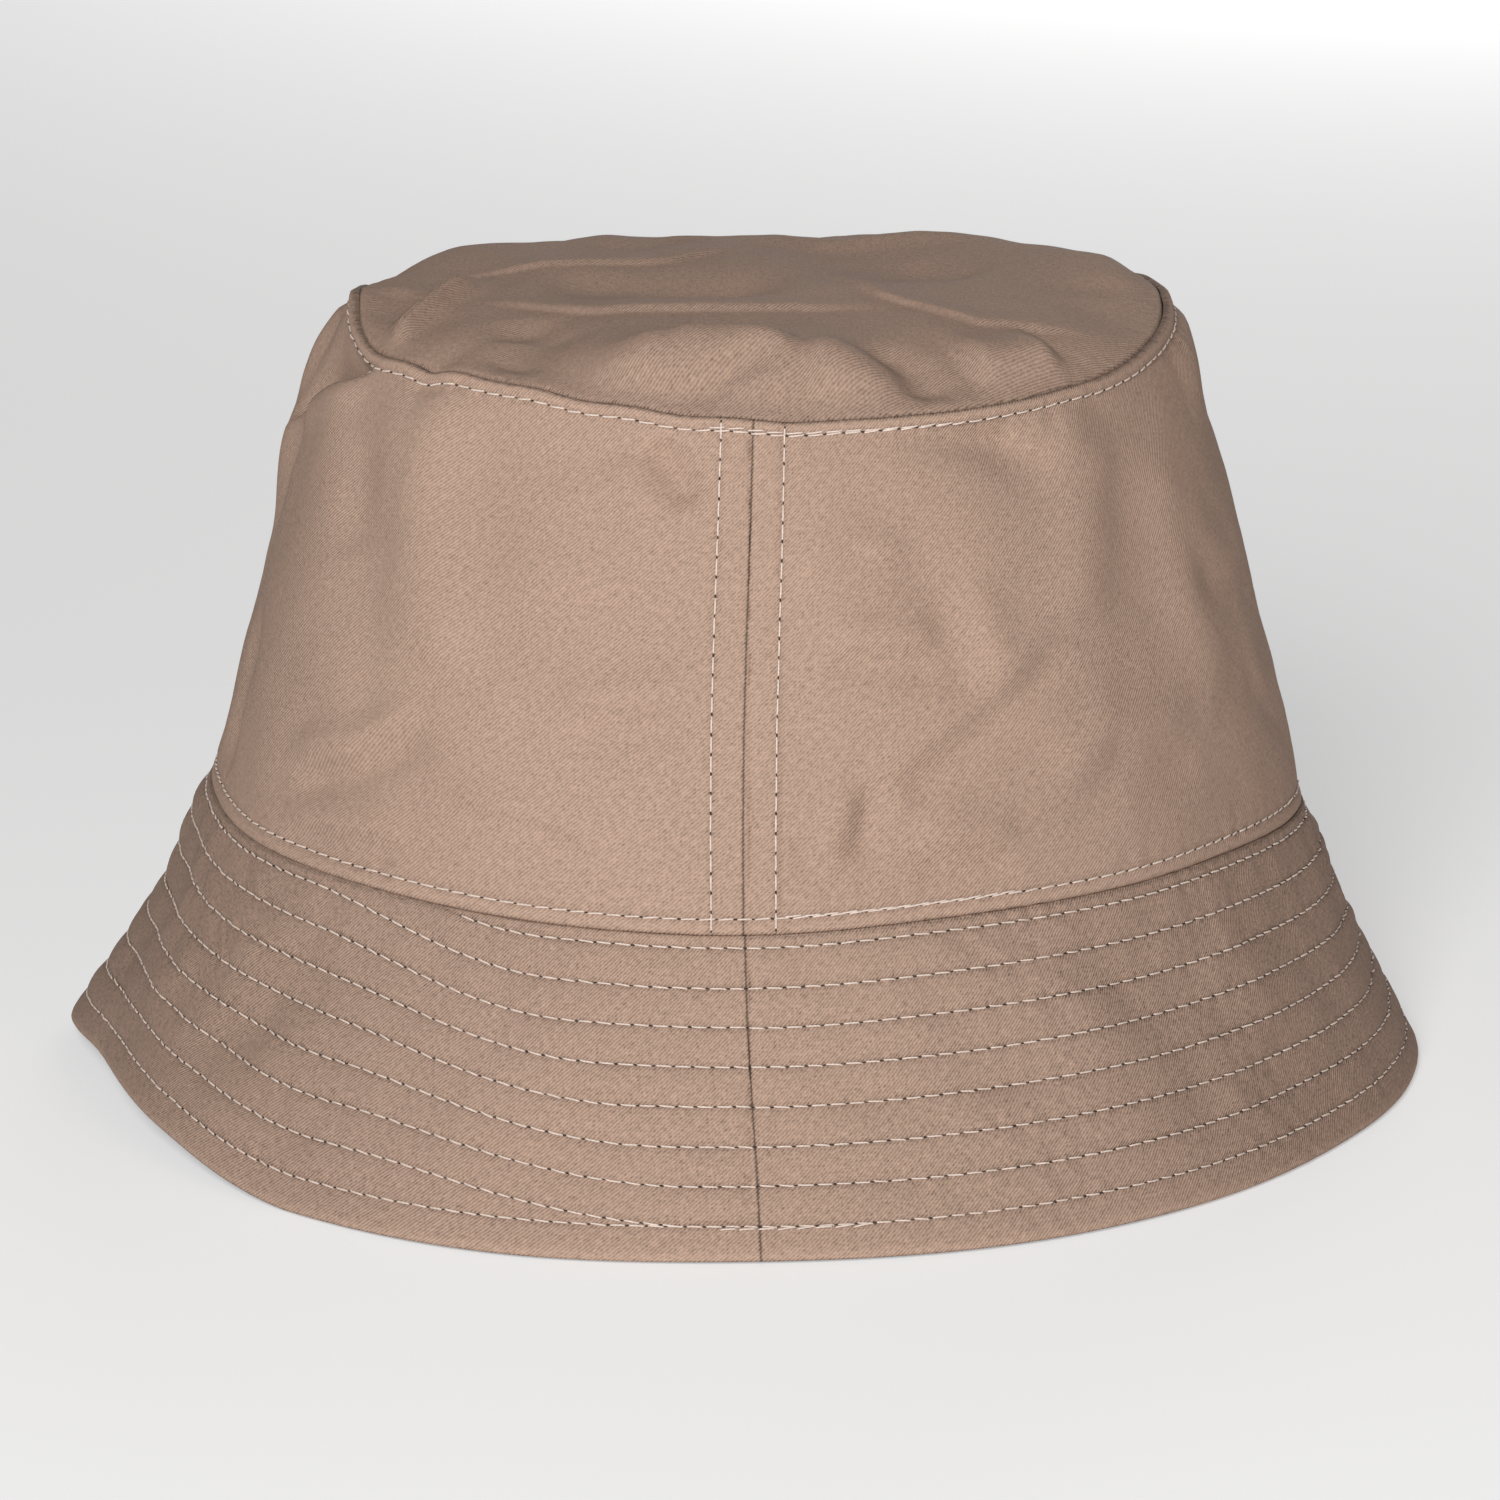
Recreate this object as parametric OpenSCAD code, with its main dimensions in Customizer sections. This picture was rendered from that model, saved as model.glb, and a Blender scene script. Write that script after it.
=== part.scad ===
// A lined bucket hat of cotton twill, standing on the edge of its brim, in millimetres.
// The origin is on the ground, under the middle of the hat. +Z is up through the crown.
// The back seam faces -Y, the wearer's face looks along +Y, and +X is the wearer's right.
// Every ring round the hat is an angle from the back seam, which grows towards +X.

/* [Crown] */
// Radius of the crown's lower edge, outside, which sets the head size
head_r = 93; // [88:1:98]
// Radius of the crown tip's edge
tip_r = 71; // [67:1:75]
// Height of the crown, from the brim seam to the tip seam
crown_h = 82; // [76:1:88]
// Height that the soft tip rises above its own edge
tip_dome = 7.5; // [5:0.5:9]
// How flat the tip stays before it falls to its edge, from 2, a plain dome
tip_flatness = 4; // [2:0.5:4]
// How far the band bulges out, half way up
band_belly = 1.5; // [0:0.5:3]

/* [Brim] */
// Radius of the brim's edge
brim_r = 117; // [113:1:122]
// Height of the brim seam above the brim's edge
brim_drop = 48; // [44:1:52]
// How far the brim hollows, half way down
brim_hollow = 0.8; // [0:0.2:1.4]

/* [Cloth] */
// Thickness of the outer twill
shell_t = 0.6; // [0.4:0.1:0.7]
// Thickness of the interlining
inter_t = 0.6; // [0.4:0.1:0.7]
// Thickness of the lining cloth
lining_t = 0.5; // [0.3:0.1:0.6]
// Air between two layers, and between two pieces at a seam
gap = 0.2; // [0.15:0.05:0.25]

/* [Stitching] */
// Thickness of a row of thread
thread_t = 0.45; // [0.3:0.05:0.6]
// Turns of the thread that spirals round the brim
brim_turns = 8; // [5:1:8]
// Distance of the outermost turn from the brim's edge
edge_row = 6; // [5:0.5:7]
// Distance between two turns on the brim, which is less if the brim is too narrow for it
row_pitch = 6.5; // [5:0.1:7]
// Distance of each topstitch from the tip seam and from the brim seam
topstitch = 2.6; // [2:0.2:3.4]
// Distance of each of the two topstitches from the back seam and from the front seam
twin_topstitch = 5; // [4:0.5:6]

/* [Hidden] */

twill = [0.72, 0.61, 0.54];
interlining = [0.90, 0.88, 0.84];
lining = [0.22, 0.25, 0.31];
thread = [0.87, 0.80, 0.75];

// The soft rings aren't circles. Each list starts at the front seam and goes round by the
// wearer's left and back, and gives for every 20 degrees how far the ring leaves its radius
// and its height. The brim's edge lifts off the ground only at the wearer's left.
tip_waves = [
    [2, -1], [1.5, 0], [0, 1], [-2.5, 2.2], [-5.5, 4], [-3.4, 7.2], [1.4, 2], [0.5, 1.5],
    [1, -0.5], [1, -2.7], [1, -2.9], [1, -2.2], [0.5, -0.8], [0, 2], [0, 4.3], [1, 2.5],
    [1.5, 0.5], [2, -0.5]
];
seam_waves = [
    [2, 2], [2, 2], [1, 1.5], [1, 1.5], [0.5, 2], [-0.5, 2.5], [1, 2], [1, 1], [2, 0],
    [3.4, 0], [1, 0.8], [0, 1], [-1, 0.5], [1, -1.2], [3, -3.5], [2, -2.5], [1.5, 0], [2, 1]
];
edge_waves = [
    [1, 0], [0, 0], [0, 0], [2, 0], [4.3, 2.5], [-3.6, 5.5], [-2.3, 4.3], [1.6, 0], [4, 0],
    [1.5, 0], [0.5, 0], [-2.2, 0], [-4, 0], [-1.8, 0], [1, 0], [2, 0], [1, 0], [1, 0]
];

// Lean of the through-cloth direction above the horizontal, shared by band and brim
lean = 20;
// Facets round half the hat, and across the band, the brim and the tip
half_steps = 30;
band_steps = 5;
brim_steps = 4;
tip_steps = 6;
// Lengths of the band and the brim, along the cloth from seam to seam or edge
band_slant = norm([head_r - tip_r, crown_h]);
brim_slant = norm([brim_r - head_r, brim_drop]);
// Depths of the layers below the outside
inter_depth = shell_t + gap;
lining_depth = inter_depth + inter_t + gap;
// How far the interlining and the lining stop short of the brim's edge
inter_short = 1.6;
lining_short = 0.6;
// The brim's thread starts at an angle left of the back seam. Over the step, which is a
// stretch just left of that seam, each later turn moves in by one pitch.
spiral_start = 13;
step_from = 5;
step_to = 35;
// Least distance of the innermost turn from the brim seam
seam_clear = 1.6;
pitch = min(row_pitch, (brim_slant - edge_row - seam_clear) / (brim_turns - 1));

// ---- The soft rings ----

// A smooth closed curve through the values of a list, at an angle.
function wave(list, angle) =
    let (n = len(list), s = (angle + 180) / 360 * n, i = floor(s), t = s - i,
         a = list[(i - 1 + n) % n], b = list[i % n], c = list[(i + 1) % n], d = list[(i + 2) % n])
    b + ((c - a) * t + (2 * a - 5 * b + 4 * c - d) * t * t + (3 * b - 3 * c + d - a) * t * t * t) / 2;

function turned(angle) = angle - 360 * floor((angle + 180) / 360);

function ring(radius, height, waves, angle) =
    let (w = wave(waves, turned(angle)), r = radius + w[0])
    [r * sin(angle), -r * cos(angle), height + w[1]];

function tip_ring(angle) = ring(tip_r, brim_drop + crown_h, tip_waves, angle);
function seam_ring(angle) = ring(head_r, brim_drop, seam_waves, angle);
function edge_ring(angle) =
    let (p = ring(brim_r, 0, edge_waves, angle))
    [p[0], p[1], max(p[2], 0)];

// ---- Points on the cloth, at a depth below its outside ----

function outward(angle) = [sin(angle) * cos(lean), -cos(angle) * cos(lean), sin(lean)];

// up runs from 0 at the brim seam to 1 at the tip seam.
function band_point(up, angle, depth) =
    seam_ring(angle) * (1 - up) + tip_ring(angle) * up
    + outward(angle) * (band_belly * sin(180 * up) - depth);

// down runs from 0 at the brim seam to 1 at the edge, where every layer ends level.
function brim_point(down, angle, depth) =
    seam_ring(angle) * (1 - down) + edge_ring(angle) * down
    - outward(angle) * (brim_hollow * sin(180 * down) + depth)
    + [0, 0, depth * sin(lean) * down];

// out runs from 0 at the middle of the tip to 1 at its edge, inset from the tip seam.
function tip_point(out, angle, depth, inset) =
    let (edge = tip_ring(angle), r = norm([edge[0], edge[1]]), k = out * (r - inset) / r,
         top = brim_drop + crown_h + tip_dome)
    [edge[0] * k, edge[1] * k, top + (edge[2] - top) * pow(out, tip_flatness) - depth];

// ---- Solids made of rows of points ----

function joined(rows) = [for (row = rows, p = row) p];
function two_triangles(a, b, c, d) = [[a, b, c], [a, c, d]];

// A piece of cloth with four edges, between the grid of its face and the grid of its back.
module cloth_patch(face, back) {
    rows = len(face);
    cols = len(face[0]);
    n = rows * cols;
    polyhedron(concat(joined(face), joined(back)), concat(
        [for (i = [0 : rows - 2], j = [0 : cols - 2]) let (p = i * cols + j)
            each two_triangles(p, p + cols, p + cols + 1, p + 1)],
        [for (i = [0 : rows - 2], j = [0 : cols - 2]) let (p = n + i * cols + j)
            each [[p, p + cols + 1, p + cols], [p, p + 1, p + cols + 1]]],
        [for (j = [0 : cols - 2]) let (q = n - cols + j)
            each concat(two_triangles(j, j + 1, n + j + 1, n + j),
                        two_triangles(q, n + q, n + q + 1, q + 1))],
        [for (i = [0 : rows - 2]) let (p = i * cols, q = p + cols - 1)
            each concat(two_triangles(p, n + p, n + p + cols, p + cols),
                        two_triangles(q, q + cols, n + q + cols, n + q))]
    ));
}

// A round piece of cloth, between the rings of its face and of its back. Ring 0 is the edge,
// and the last ring closes on one middle point.
module cloth_disc(face, back, face_middle, back_middle) {
    rings = len(face);
    cols = len(face[0]);
    n = rings * cols;
    last = n - cols;
    polyhedron(concat(joined(face), joined(back), [face_middle, back_middle]), concat(
        [for (i = [0 : rings - 2], j = [0 : cols - 1])
            let (p = i * cols + j, q = i * cols + (j + 1) % cols)
            each concat(two_triangles(p, p + cols, q + cols, q),
                        two_triangles(n + p, n + q, n + q + cols, n + p + cols))],
        [for (j = [0 : cols - 1]) let (k = (j + 1) % cols)
            each concat(two_triangles(j, k, n + k, n + j),
                        [[last + j, 2 * n, last + k], [n + last + j, n + last + k, 2 * n + 1]])]
    ));
}

// A row of thread along a path of points, with the cloth's outward direction at each point.
// Its section is a square, which clears the cloth by half a gap.
module thread_row(path, outs, closed = false) {
    count = len(path);
    steps = closed ? count : count - 1;
    corners = [[gap / 2, -1], [gap / 2 + thread_t, -1], [gap / 2 + thread_t, 1], [gap / 2, 1]];
    rings = [for (i = [0 : count - 1])
        let (before = path[closed ? (i - 1 + count) % count : max(i - 1, 0)],
             after = path[closed ? (i + 1) % count : min(i + 1, count - 1)],
             along = after - before,
             side = cross(outs[i], along) / norm(along))
        [for (c = corners) path[i] + outs[i] * c[0] + side * c[1] * thread_t / 2]];
    polyhedron(joined(rings), concat(
        [for (i = [0 : steps - 1], j = [0 : 3])
            let (p = i * 4, q = ((i + 1) % count) * 4, k = (j + 1) % 4)
            each two_triangles(p + j, q + j, q + k, p + k)],
        closed ? [] : [[0, 1, 2], [0, 2, 3],
                       [4 * count - 1, 4 * count - 2, 4 * count - 3],
                       [4 * count - 1, 4 * count - 3, 4 * count - 4]]
    ));
}

// ---- Angles of the pieces ----

// The right half runs from the back seam to the front seam round +X, and the left half
// back again round -X. Each stops half a gap short of both seams.
function half_angles(right) =
    let (short = gap / 2 / tip_r * 180 / PI, start = right ? 0 : 180)
    [for (i = [0 : half_steps]) start + short + i * (180 - 2 * short) / half_steps];

function round_angles() = [for (i = [0 : 2 * half_steps - 1]) i * 180 / half_steps];

// ---- The pieces ----

// One layer of one half of the band, between two distances from its seams.
module band_half(right, depth, t, from_seam, from_tip) {
    low = from_seam / band_slant;
    high = 1 - from_tip / band_slant;
    ups = [for (i = [0 : band_steps]) low + (high - low) * i / band_steps];
    cloth_patch([for (up = ups) [for (a = half_angles(right)) band_point(up, a, depth)]],
                [for (up = ups) [for (a = half_angles(right)) band_point(up, a, depth + t)]]);
}

// One layer of one half of the brim, which stops short of the edge.
module brim_half(right, depth, t, from_edge) {
    low = 1 - from_edge / brim_slant;
    high = gap / 2 / brim_slant;
    downs = [for (i = [0 : brim_steps]) low + (high - low) * i / brim_steps];
    cloth_patch([for (down = downs) [for (a = half_angles(right)) brim_point(down, a, depth)]],
                [for (down = downs) [for (a = half_angles(right)) brim_point(down, a, depth + t)]]);
}

// One layer of the tip.
module tip_layer(depth, t, inset) {
    outs = [for (i = [0 : tip_steps - 1]) 1 - i / tip_steps];
    cloth_disc([for (out = outs) [for (a = round_angles()) tip_point(out, a, depth, inset)]],
               [for (out = outs) [for (a = round_angles()) tip_point(out, a, depth + t, inset)]],
               tip_point(0, 0, depth, inset), tip_point(0, 0, depth + t, inset));
}

module outer_tip() { color(twill) tip_layer(0, shell_t, 0); }
module outer_band(right) {
    color(twill) band_half(right, 0, shell_t, gap / 2, shell_t + gap);
}
module outer_brim(right) { color(twill) brim_half(right, 0, shell_t, 0); }

module band_interlining(right) {
    color(interlining) band_half(right, inter_depth, inter_t, gap / 2, shell_t + gap);
}
module brim_interlining(right) {
    color(interlining) brim_half(right, inter_depth, inter_t, inter_short);
}

module lining_tip() { color(lining) tip_layer(inter_depth, lining_t, lining_depth); }
module lining_band(right) {
    color(lining) band_half(right, lining_depth, lining_t, gap / 2, inter_depth + lining_t + gap);
}
module lining_brim(right) { color(lining) brim_half(right, lining_depth, lining_t, lining_short); }

// A topstitch right round the band, at a height up it.
module band_topstitch(up) {
    color(thread) thread_row([for (a = round_angles()) band_point(up, a, 0)],
                             [for (a = round_angles()) outward(a)], closed = true);
}
module tip_topstitch() { band_topstitch(1 - topstitch / band_slant); }
module brim_seam_topstitch() { band_topstitch(topstitch / band_slant); }

// Two topstitches up the band, one on each side of the seam at the given angle. Each ends
// short of the topstitches that run round the band.
module twin_topstitches(seam_angle) {
    clear = 2 * topstitch / band_slant;
    ups = [for (i = [0 : 2 * band_steps]) clear + (1 - 2 * clear) * i / (2 * band_steps)];
    for (side = [-1, 1]) {
        angles = [for (up = ups)
            seam_angle + side * twin_topstitch * 180 / PI / (head_r + (tip_r - head_r) * up)];
        color(thread) thread_row(
            [for (i = [0 : len(ups) - 1]) band_point(ups[i], angles[i], 0)],
            [for (a = angles) outward(a)]);
    }
}
module back_seam_topstitch() { twin_topstitches(0); }
module front_seam_topstitch() { twin_topstitches(180); }

// One thread that goes round the brim towards the wearer's left. Its first turn keeps to the
// edge, and each later turn steps in by one pitch.
function smooth(t) = let (c = min(max(t, 0), 1)) c * c * (3 - 2 * c);
function row_from_edge(travel) =
    let (turn = floor(travel / 360),
         stepped = (travel - 360 * turn - step_from) / (step_to - step_from))
    edge_row + (turn == 0 ? 0 : pitch * (turn - 1 + smooth(stepped)));

module brim_stitching() {
    step = 180 / half_steps;
    first = ceil(spiral_start / step);
    travels = concat([spiral_start],
                     [for (k = [first : brim_turns * 2 * half_steps]) k * step]);
    color(thread) thread_row(
        [for (t = travels) brim_point(1 - row_from_edge(t) / brim_slant, -t, 0)],
        [for (t = travels) outward(-t)]);
}

outer_tip();
outer_band(false);  // outer_band_left
outer_band(true);  // outer_band_right
outer_brim(false);  // outer_brim_left
outer_brim(true);  // outer_brim_right
band_interlining(false);  // band_interlining_left
band_interlining(true);  // band_interlining_right
brim_interlining(false);  // brim_interlining_left
brim_interlining(true);  // brim_interlining_right
lining_tip();
lining_band(false);  // lining_band_left
lining_band(true);  // lining_band_right
lining_brim(false);  // lining_brim_left
lining_brim(true);  // lining_brim_right
tip_topstitch();
brim_seam_topstitch();
back_seam_topstitch();
front_seam_topstitch();
brim_stitching();
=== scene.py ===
"""A lined cotton-twill bucket hat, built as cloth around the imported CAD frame.

Every layer of cloth is a thin closed sheet on the same soft rings as the CAD part. One field
of folds bends all the layers together. Between its rows of stitching the brim puffs out on top
and down below. Lengths are in millimetres and angles in degrees, unless a comment says
otherwise: 0 is the back seam, +90 the wearer's right.
"""
import math

import bpy
import numpy as np
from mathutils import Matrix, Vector


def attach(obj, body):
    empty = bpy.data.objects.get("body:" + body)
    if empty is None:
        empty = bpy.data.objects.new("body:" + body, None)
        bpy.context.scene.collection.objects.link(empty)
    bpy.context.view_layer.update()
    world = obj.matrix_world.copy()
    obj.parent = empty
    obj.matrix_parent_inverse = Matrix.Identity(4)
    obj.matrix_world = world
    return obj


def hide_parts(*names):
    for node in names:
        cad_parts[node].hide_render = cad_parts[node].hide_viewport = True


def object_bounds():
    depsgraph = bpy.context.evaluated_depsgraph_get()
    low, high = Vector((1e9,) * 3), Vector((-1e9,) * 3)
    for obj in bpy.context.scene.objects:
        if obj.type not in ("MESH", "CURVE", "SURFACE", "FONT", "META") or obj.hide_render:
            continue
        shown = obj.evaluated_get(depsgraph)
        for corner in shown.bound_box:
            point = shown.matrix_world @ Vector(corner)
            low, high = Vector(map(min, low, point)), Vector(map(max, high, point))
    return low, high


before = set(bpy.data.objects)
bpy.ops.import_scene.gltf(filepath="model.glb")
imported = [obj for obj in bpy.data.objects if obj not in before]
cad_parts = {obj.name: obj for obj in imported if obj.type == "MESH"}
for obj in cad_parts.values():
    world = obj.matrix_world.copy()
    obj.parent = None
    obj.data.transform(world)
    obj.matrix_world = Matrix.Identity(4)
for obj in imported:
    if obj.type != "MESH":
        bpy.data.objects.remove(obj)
cad_low, cad_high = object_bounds()
MM = 0.001
ROOT = "root"

# ---------------------------------------------------------------- driving dimensions
HEAD_R, TIP_R, BRIM_R = 93.0, 71.0, 117.0       # radii of the brim seam, tip seam and edge
BRIM_DROP, CROWN_H, TIP_DOME = 48.0, 82.0, 7.5  # heights: brim, crown, tip above its edge
BAND_BELLY, BRIM_HOLLOW = 1.5, 0.8
LEAN = math.radians(20)                         # through-cloth direction above horizontal
SHELL_T, INTER_T, LINING_T, GAP = 0.6, 0.6, 0.5, 0.2
STACK = SHELL_T + INTER_T + LINING_T + 2 * GAP  # all the layers of the band or the brim
BAND_SLANT = math.hypot(HEAD_R - TIP_R, CROWN_H)
BRIM_SLANT = math.hypot(BRIM_R - HEAD_R, BRIM_DROP)
TOP = BRIM_DROP + CROWN_H + TIP_DOME
TIP_POWER = 4          # how flat the tip stays before it drops to its edge
TIP_TUCK = 0.85        # the tip ends this far inside the ring of its seam
BAND_MID, BRIM_MID = 83, 105    # radii about halfway up the band and down the brim
BAND_RUN, BRIM_RUN = 84, 108    # radii that turn angles into lengths of cloth

# Each list starts at the front seam and goes round by the wearer's left and back. It gives,
# for every 20 degrees, how far the ring leaves its radius and its height.
TIP_WAVES = [
    [2, -1], [1.5, 0], [0, 1], [-2.5, 2.2], [-5.5, 4], [-3.4, 7.2], [1.4, 2], [0.5, 1.5],
    [1, -0.5], [1, -2.7], [1, -2.9], [1, -2.2], [0.5, -0.8], [0, 2], [0, 4.3], [1, 2.5],
    [1.5, 0.5], [2, -0.5]]
SEAM_WAVES = [
    [2, 2], [2, 2], [1, 1.5], [1, 1.5], [0.5, 2], [-0.5, 2.5], [1, 2], [1, 1], [2, 0],
    [3.4, 0], [1, 0.8], [0, 1], [-1, 0.5], [1, -1.2], [3, -3.5], [2, -2.5], [1.5, 0], [2, 1]]
EDGE_WAVES = [
    [1, 0], [0, 0], [0, 0], [2, 0], [4.3, 2.5], [-3.6, 5.5], [-2.3, 4.3], [1.6, 0], [4, 0],
    [1.5, 0], [0.5, 0], [-2.2, 0], [-4, 0], [-1.8, 0], [1, 0], [2, 0], [1, 0], [1, 0]]

# Stitching
STITCH = 3.1            # length of a stitch, hole to hole
TOPSTITCH = 2.6         # topstitch round the band, from the brim seam
TIP_STITCH = 2.3        # topstitch round the band, from the tip seam
TWIN = 5.0              # topstitch each side of the back and front seams
EDGE_ROW, ROW_PITCH, ROWS = 6.0, 6.5, 8
STEP_FROM, STEP_TO = 3.0, 35.0
ROW_GAP = 0.35          # least distance between two rows, where one starts beside another
DOUBLED = 0.35          # the second pass of thread lies this far beside the first
DOUBLED_LIFT = 0.1      # and this far above it
CLEAR = 0.9             # stitches end this far from the next seam
PULL, PULL_WIDTH = 0.34, 0.75   # how deep and how wide a topstitch pulls the cloth in
ROW_PUFF, EDGE_PUFF = 0.62, 0.35    # how far the brim stands out between rows, and at its edge
UNDER_PUFF = 0.48       # the under brim's puff, as a share of the brim's

# One stitch: the top thread's points by share of its length, and their rise and radius
THREAD_AT = [0.0, 0.10, 0.28, 0.5, 0.72, 0.90, 1.0]
THREAD_RISE = [-0.14, 0.04, 0.11, 0.13, 0.11, 0.04, -0.14]
THREAD_THICK = [0.12, 0.145, 0.155, 0.16, 0.155, 0.145, 0.12]
BOBBIN_SHARE = 0.9      # the bobbin thread's radius, as a share of the top thread's
HOLE = 0.28             # the thread starts and ends this far from the middle of its hole
# The knot in a hole: its points along the row, and their rise and radius
KNOT_AT = [-0.3, -0.15, 0.15, 0.3]
KNOT_RISE = [-0.14, 0.03, 0.03, -0.14]
KNOT_THICK = [0.11, 0.165, 0.165, 0.11]

# Seams and edges: over what width the cloth turns in, and how deep. SEAM is for the brim seam
# and the tip seam, BAND_SEAM and BRIM_SEAM for the back and front seams, TIP_SEAM for the tip.
SEAM_ROLL, SEAM_DEPTH = 0.4, 0.38
BAND_SEAM, BRIM_SEAM, TIP_SEAM = (0.40, 0.50), (0.5, 0.55), (0.9, 0.8)
EDGE_ROLL = STACK / 2
SOFT_EDGE = 1.2         # the brim's folds and puffs fade out over this much at its edge
# How far the back seam strays towards the wearer's right, up the band and down the brim
BAND_WANDER = [-0.9, -1.0, -0.9, -0.5, 0.1, 0.6]
BRIM_WANDER = [-0.9, -0.5, 0.3, 1.1, 1.6]

# Folds. Each is (kind, height, half-width, path). A ridge stands out along its path and a
# height below zero makes it a valley. A step falls from the left of its path to the right.
# A flap is a ridge, or a valley, that is sharp on its right side and runs out gently on its
# left.
FLAP_SHARP = 1.1        # half-width of a flap on its sharp side
BAND_FOLDS = [
    # the wearer's right of the back seam
    ("ridge", -1.5, 5.2, [(20, 1.00), (29, 0.96), (38, 0.90)]),
    ("flap", -0.9, 6.0, [(41, 0.86), (34, 0.93), (25, 1.01)]),
    ("step", 0.4, 5.0, [(41, 0.80), (46, 0.90), (51, 1.02)]),
    ("ridge", 2.2, 7.5, [(49, 0.97), (44, 0.76), (40, 0.50)]),
    ("ridge", -1.25, 5.4, [(24, 0.38), (24, 0.52), (22, 0.64), (16, 0.74)]),
    ("ridge", 1.1, 3.8, [(28, 0.46), (27.5, 0.58), (25, 0.68)]),
    ("step", 1.3, 4.8, [(11, 0.23), (19, 0.32), (27, 0.41), (38, 0.52)]),
    ("ridge", 1.3, 2.8, [(6.5, 0.11), (9, 0.20), (10.5, 0.29)]),
    ("ridge", -1.2, 2.4, [(11, 0.12), (12, 0.21), (12, 0.29)]),
    ("ridge", 0.9, 2.6, [(16, 0.20), (15, 0.28)]),
    ("ridge", -1.0, 2.2, [(4.5, 0.19), (7, 0.11)]),
    ("step", 1.2, 5.0, [(16, 0.14), (29, 0.12)]),
    ("step", 1.3, 7.0, [(34, 0.19), (43, 0.28), (58, 0.24)]),
    ("step", 1.4, 4.5, [(8, 0.55), (22, 0.52)]),
    ("flap", 0.8, 4.0, [(5, 0.69), (12, 0.76), (19, 0.71)]),
    ("ridge", 1.3, 7.0, [(62, 0.86), (60, 0.55), (64, 0.25)]),
    ("ridge", 2.2, 9.0, [(76, 0.90), (90, 0.93), (106, 0.90)]),
    # the wearer's left of it
    ("ridge", -2.3, 3.2, [(-12.5, 0.95), (-9, 0.88), (-7, 0.82)]),
    ("ridge", 0.9, 3.0, [(-16, 0.90), (-13, 0.80)]),
    ("ridge", 3.0, 9.5, [(-47, 1.00), (-42, 0.74), (-36, 0.40)]),
    ("ridge", -1.1, 6.0, [(-55, 0.85), (-52, 0.60)]),
    ("step", 1.9, 4.5, [(-58, 0.17), (-47, 0.23), (-36, 0.34)]),
    ("step", 1.3, 4.0, [(-58, 0.06), (-37, 0.10)]),
    ("step", 1.4, 5.0, [(-21, 0.39), (-5, 0.44)]),
    ("ridge", 1.0, 4.0, [(-39, 0.51), (-32, 0.44), (-25, 0.38)]),
    ("flap", 1.0, 4.0, [(-33, 0.21), (-22, 0.20), (-13, 0.14)]),
    ("ridge", 0.9, 8.0, [(-24, 0.88), (-22, 0.60)]),
    ("flap", -3.9, 6.5, [(-90, 0.705), (-82, 0.78), (-70, 0.885), (-50, 1.05)]),
    ("ridge", 1.2, 3.0, [(-84, 0.71), (-72, 0.82), (-57, 0.95)]),
    ("ridge", 2.4, 10.0, [(-106, 0.92), (-96, 0.90), (-88, 0.85)]),
    ("ridge", 4.0, 15.0, [(-112, 0.70), (-96, 0.73), (-82, 0.66)]),
    ("ridge", -1.0, 5.0, [(-104, 0.45), (-94, 0.43)]),
    ("ridge", -1.2, 4.2, [(-78, 0.40), (-80, 0.22), (-79, 0.04)]),
    # the front and the wearer's sides
    ("flap", -1.3, 6.0, [(132, 0.50), (128, 0.76), (118, 1.02)]),
    ("ridge", 1.8, 9.0, [(104, 0.90), (108, 0.55), (100, 0.25)]),
    ("step", 1.1, 8.0, [(154, 0.14), (136, 0.30), (118, 0.50)]),
    ("flap", -1.2, 6.0, [(-137, 0.52), (-140, 0.78), (-150, 1.02)]),
    ("ridge", 1.6, 9.0, [(-124, 0.85), (-120, 0.50)]),
    ("step", 1.1, 8.0, [(-124, 0.12), (-145, 0.27), (-164, 0.46)]),
    ("ridge", -0.9, 6.0, [(165, 0.74), (172, 0.55), (170, 0.36)]),
    ("ridge", 1.0, 8.0, [(-164, 0.84), (-158, 0.60), (-162, 0.40)]),
    ("step", 0.6, 5.0, [(72, 0.35), (80, 0.24), (90, 0.18)]),
    ("step", 0.7, 6.0, [(62, 0.60), (74, 0.52), (84, 0.50)]),
]

# Paths on the brim are (angle, share of the way down from the brim seam).
BRIM_FOLDS = [
    ("ridge", -1.3, 15.0, [(-112, 0.25), (-88, 0.30), (-76, 0.35)]),
    ("ridge", -1.0, 7.0, [(-60, 0.80), (-50, 0.45), (-44, 0.20)]),
    ("ridge", 0.8, 6.0, [(-74, 0.75), (-64, 0.40)]),
    ("ridge", -0.9, 6.0, [(34, 0.15), (42, 0.45), (46, 0.85)]),
    ("ridge", 0.7, 7.0, [(52, 0.20), (58, 0.60)]),
    ("step", 0.7, 5.0, [(4, 0.55), (16, 0.62), (30, 0.50)]),
    ("ridge", -0.8, 7.0, [(96, 0.20), (104, 0.70)]),
    ("ridge", -0.9, 7.0, [(150, 0.15), (158, 0.80)]),
    ("ridge", 0.9, 8.0, [(-140, 0.20), (-134, 0.70)]),
]

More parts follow.
